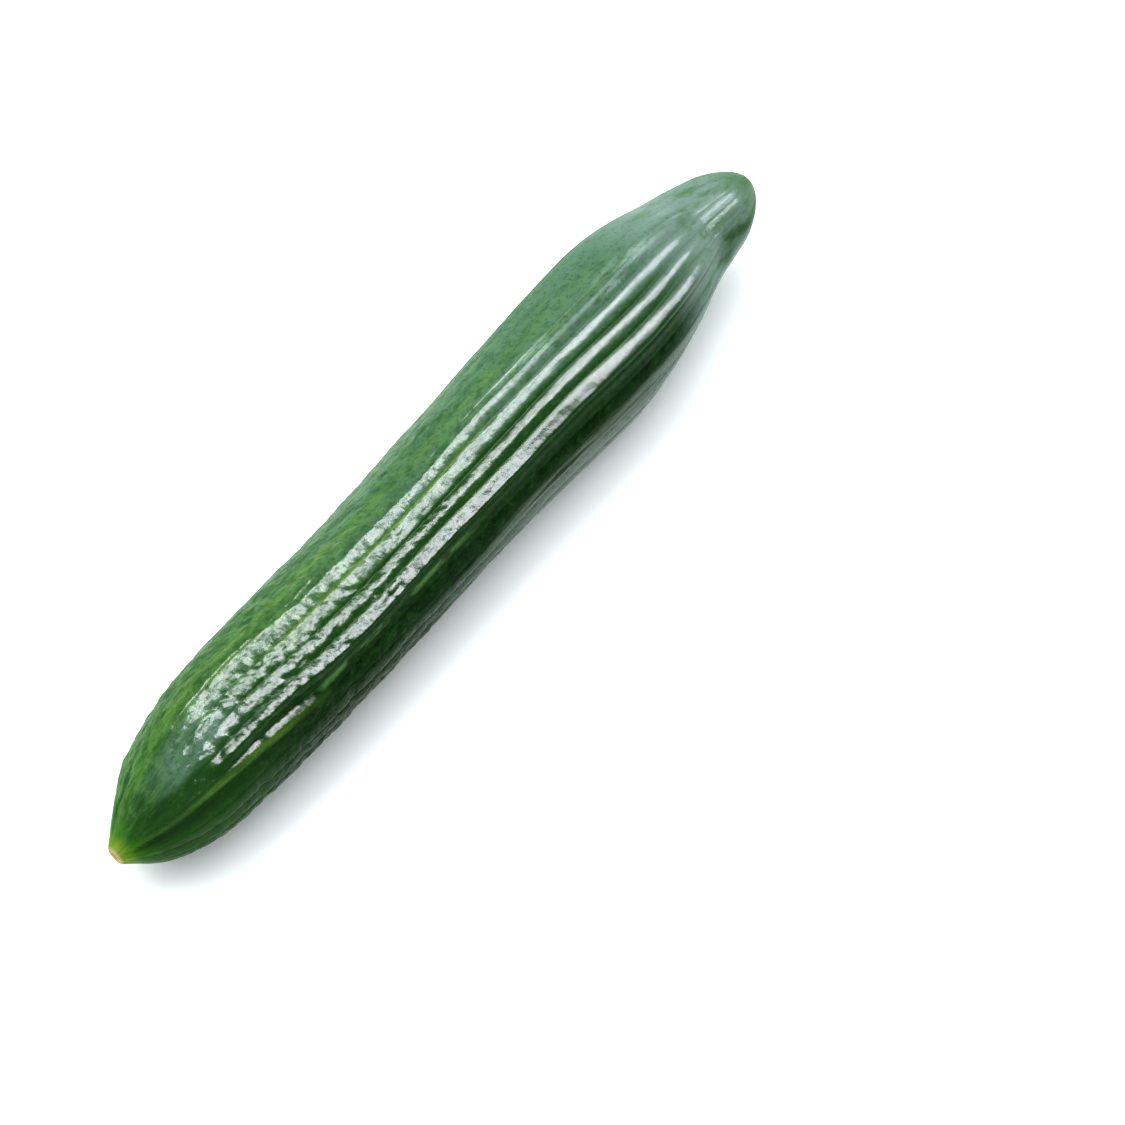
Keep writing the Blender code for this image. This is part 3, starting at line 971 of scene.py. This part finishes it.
# %% Shine and fine grain
SHADER_VALUES = {
    "Roughness": 0.36, "IOR": 1.45, "Specular IOR Level": 0.0, "Coat Roughness": 0.21, "Coat IOR": 1.25,
}
GRAIN_HEIGHT = 0.20 * MM
for name, value in SHADER_VALUES.items():
    shader.inputs[name].default_value = value
grain_noise = stretched_noise(11.0, 430.0, detail=2.0, roughness=0.5, shift=2.0)
grain = times(grain_noise, reshape(along, -0.030, 0.060, 1.0, 0.35))
bump = nodes.new("ShaderNodeBump")
bump.inputs["Distance"].default_value = GRAIN_HEIGHT
bump.inputs["Strength"].default_value = 1.0
links.new(grain, bump.inputs["Height"])
links.new(bump.outputs["Normal"], shader.inputs["Normal"])
links.new(bump.outputs["Normal"], shader.inputs["Coat Normal"])
print("shader values:", SHADER_VALUES)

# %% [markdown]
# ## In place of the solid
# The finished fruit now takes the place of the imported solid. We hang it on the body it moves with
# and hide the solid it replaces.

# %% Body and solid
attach(cucumber, "root")
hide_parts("cucumber")
print("piece:", cucumber.name, "with material", cucumber_mesh.materials[0].name)

# %% [markdown]
# ## Floor
# A pale floor catches the soft shadow that shows where the fruit touches it. A single large square is
# enough, because the lights and the display settings turn it almost white.

# %% Floor
FLOOR_HALF = 8.0
FLOOR_WHITE = (0.90, 0.90, 0.90, 1.0)
corners = [(-FLOOR_HALF, -FLOOR_HALF, 0.0), (FLOOR_HALF, -FLOOR_HALF, 0.0),
           (FLOOR_HALF, FLOOR_HALF, 0.0), (-FLOOR_HALF, FLOOR_HALF, 0.0)]
floor_mesh = bpy.data.meshes.new("floor")
floor_mesh.from_pydata(corners, [], [(0, 1, 2, 3)])
floor = bpy.data.objects.new("floor", floor_mesh)
bpy.context.scene.collection.objects.link(floor)
floor_material = bpy.data.materials.new("floor_white")
floor_material.use_nodes = True
floor_shader = floor_material.node_tree.nodes["Principled BSDF"]
floor_shader.inputs["Base Color"].default_value = FLOOR_WHITE
floor_shader.inputs["Roughness"].default_value = 0.9
floor_shader.inputs["Specular IOR Level"].default_value = 0.0
floor_mesh.materials.append(floor_material)
print("floor side in metres:", 2.0 * FLOOR_HALF)

# %% [markdown]
# ## Lights
# The window side is the upper left: one large soft light there brings out the green, and the far side
# falls dark. The wax mirrors three soft boxes, for the blossom half, the middle and the stem half, and
# a wide faint one that gives them soft borders. They are hidden from diffuse rays, so they add only the
# white streaks, and their brightness can be set without washing out the colour. Each light is placed
# by its angle across the fruit, because a skin that faces half way between that light and the camera
# is where its streak appears.

# %% Soft light


def soft_light(name, across_deg, ahead, distance, width, length, brightness, roll_deg=0.0):
    """Area light whose angle across the fruit is counted from straight up towards -Y."""
    lean = math.radians(across_deg)
    flat = math.sqrt(1.0 - ahead * ahead)
    direction = Vector((ahead, -math.sin(lean) * flat, math.cos(lean) * flat))
    data = bpy.data.lights.new(name, "AREA")
    data.shape = "RECTANGLE"
    data.size = length
    data.size_y = width
    data.energy = brightness * math.pi * width * length
    light = bpy.data.objects.new(name, data)
    bpy.context.scene.collection.objects.link(light)
    light.location = direction * distance
    along_fruit = Vector((1.0, 0.0, 0.0))
    along_fruit = (along_fruit - direction * along_fruit.dot(direction)).normalized()
    along_fruit.rotate(Matrix.Rotation(math.radians(roll_deg), 3, direction))
    sideways = direction.cross(along_fruit)
    light.rotation_euler = Matrix((along_fruit, sideways, direction)).transposed().to_euler()
    light.visible_camera = False
    return light


window_light = soft_light(
    "window_light", across_deg=-38.0, ahead=0.10, distance=1.6, width=2.2, length=2.6, brightness=0.95)
window_light.visible_glossy = False
print("window light at:", [round(value, 2) for value in window_light.location])

# %% Soft boxes that the wax mirrors
VIEW_ACROSS_DEG = 25.0
STREAK_COLOUR = (1.0, 0.90, 1.08)
# Name, the angle across the fruit of the skin that mirrors the box, how far its direction leans
# towards the stem, its distance, width, length and brightness, and its turn about its own middle.
MIRROR_BOXES = (
    ("blossom_box", 10.0, 0.25, 1.3, 0.70, 0.60, 31.0, -50.0),
    ("middle_box", 22.0, 0.54, 1.3, 0.60, 0.56, 33.0, -45.0),
    ("stem_box", 30.0, 0.82, 1.3, 0.42, 0.50, 21.0, -20.0),
    ("glow_box", 18.0, 0.50, 1.6, 1.30, 1.70, 4.5, -40.0),
)
for name, skin_deg, ahead, distance, width, length, brightness, roll_deg in MIRROR_BOXES:
    across_deg = 2.0 * skin_deg - VIEW_ACROSS_DEG
    box_light = soft_light(name, across_deg, ahead, distance, width, length, brightness, roll_deg)
    box_light.data.color = STREAK_COLOUR
    box_light.visible_diffuse = False
print("mirrored boxes:", len(MIRROR_BOXES))

# %% [markdown]
# ## Surroundings and display
# A pale sky all round fills the shadows. In the wax it would veil the dark skin, so mirrored rays see
# only a fifth of it. The display settings lift the middle tones, as the photograph does.

# %% Surroundings and display
SKY_COLOUR = (0.94, 0.97, 1.0, 1.0)
SKY_STRENGTH = 1.15
SKY_MIRRORED = 0.22
VIEW_GAMMA = 0.72
VIEW_EXPOSURE = 0.55
world = bpy.data.worlds.new("world")
bpy.context.scene.world = world
world.use_nodes = True
background = world.node_tree.nodes["Background"]
background.inputs["Color"].default_value = SKY_COLOUR
ray_kind = world.node_tree.nodes.new("ShaderNodeLightPath")
mirrored_share = world.node_tree.nodes.new("ShaderNodeMapRange")
mirrored_share.inputs["To Min"].default_value = SKY_STRENGTH
mirrored_share.inputs["To Max"].default_value = SKY_MIRRORED
world.node_tree.links.new(ray_kind.outputs["Is Glossy Ray"], mirrored_share.inputs["Value"])
world.node_tree.links.new(mirrored_share.outputs["Result"], background.inputs["Strength"])

view = bpy.context.scene.view_settings
view.view_transform = "Standard"
view.look = "None"
view.gamma = VIEW_GAMMA
view.exposure = VIEW_EXPOSURE
print("gamma and exposure:", VIEW_GAMMA, VIEW_EXPOSURE)
